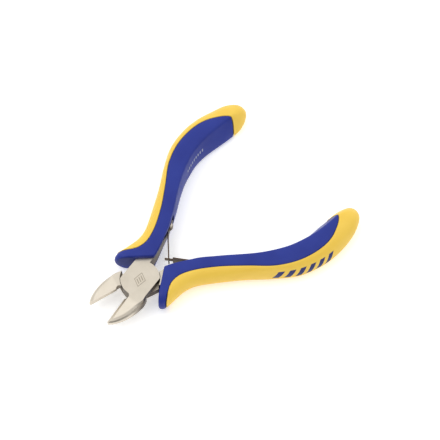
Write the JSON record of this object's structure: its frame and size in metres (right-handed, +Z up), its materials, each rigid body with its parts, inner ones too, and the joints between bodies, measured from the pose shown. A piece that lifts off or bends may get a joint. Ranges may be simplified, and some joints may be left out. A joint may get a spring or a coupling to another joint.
{
  "type": "flush cut pliers",
  "caption": "Small lap-joint side cutters with bevelled flush cutting jaws, two-colour contoured grips and crossed leaf return springs.",
  "frame": {"origin": "on the pivot axis, at the flat underside of the joint", "axes": "+X from the jaws to the handles along the line that halves the opening, +Y towards the upper lever's handle, +Z up out of the joint's stamped face"},
  "size_m": [0.1088, 0.087, 0.0104],
  "materials": {
    "steel": "satin ground, warm nickel tone",
    "rivet_steel": "ground flush",
    "spring_steel": "tempered brown, satin",
    "grip_core": "fine moulded grain, royal blue",
    "grip_cover": "soft satin, yellow"
  },
  "bodies": {
    "lower_half": {"lower_lever": "steel", "pivot_rivet": "rivet_steel", "lower_grip_core": "grip_core", "lower_grip_cover": "grip_cover", "lower_spring_base": "spring_steel", "lower_spring_rivet": "rivet_steel"},
    "upper_half": {"upper_lever": "steel", "upper_grip_core": "grip_core", "upper_grip_cover": "grip_cover", "upper_spring_base": "spring_steel", "upper_spring_rivet": "rivet_steel"},
    "upper_blade": {"upper_spring_blade": "spring_steel"},
    "lower_blade": {"lower_spring_blade": "spring_steel"}
  },
  "joints": [
    {"name": "jaw_pivot", "type": "hinge", "parent": "lower_half", "child": "upper_half", "pos_m": [0, 0, 0.0031], "axis": [0, 0, -1], "range_deg": [0, 26], "stiffness_Nm_per_rad": 0.8, "springref_deg": -11.46},
    {"name": "upper_spring_flex", "type": "hinge", "parent": "upper_half", "child": "upper_blade", "pos_m": [0.02251, 0.0092, 0.0031], "axis": [0, 0, -1], "range_deg": [0, 19.2]},
    {"name": "lower_spring_flex", "type": "hinge", "parent": "lower_half", "child": "lower_blade", "pos_m": [0.02251, -0.0092, 0.0031], "axis": [0, 0, 1], "range_deg": [0, 19.2]}
  ],
  "couplings": [
    {"joint": "upper_spring_flex", "follows": "jaw_pivot", "ratio": 0.7365},
    {"joint": "lower_spring_flex", "follows": "jaw_pivot", "ratio": 0.7365}
  ]
}
